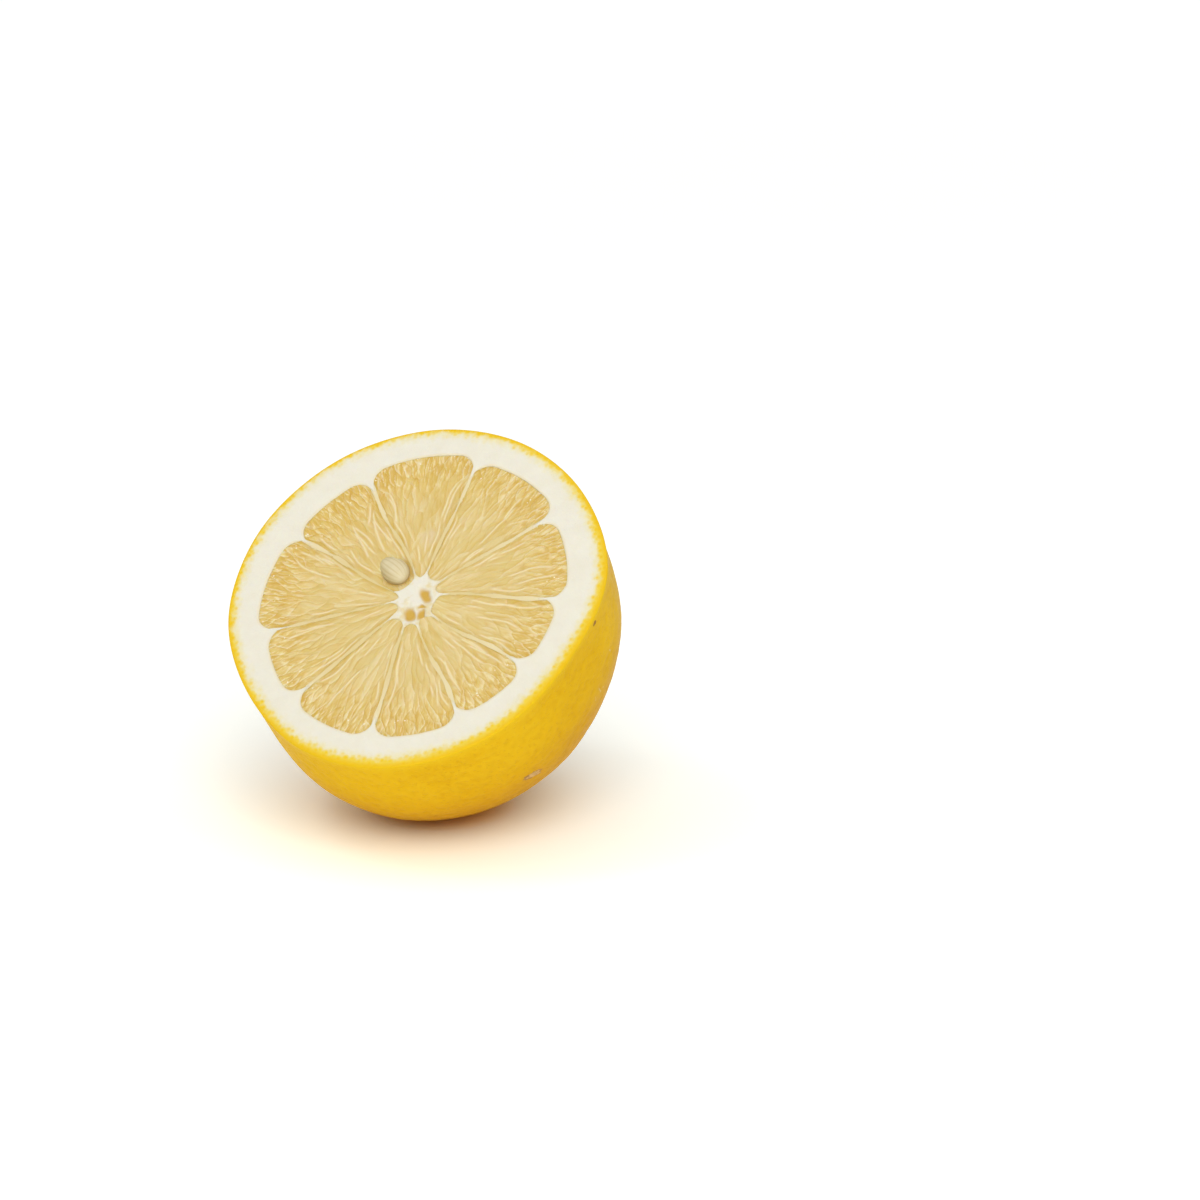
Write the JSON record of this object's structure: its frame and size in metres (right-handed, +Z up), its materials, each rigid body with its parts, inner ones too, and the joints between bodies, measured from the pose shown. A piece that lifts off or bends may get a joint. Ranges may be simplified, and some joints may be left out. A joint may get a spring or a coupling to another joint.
{
  "type": "lemon half",
  "caption": "Half of a lemon cut crosswise, lying on its skin with the cut face tilted up, with one seed in its pocket.",
  "frame": {"origin": "middle of the small flat spot on the skin that the half rests on", "axes": "+Z up; the cut face looks up and towards -Y, tilted 43 degrees from the level; +X to the right along the cut face"},
  "size_m": [0.0627, 0.0591, 0.0598],
  "materials": {
    "fruit": "satin peel with fine pores; the cut face is moist pith and pulp",
    "seed": "satin, faintly striped"
  },
  "bodies": {
    "root": {"lemon_half": "fruit", "seed": "seed"}
  },
  "joints": []
}
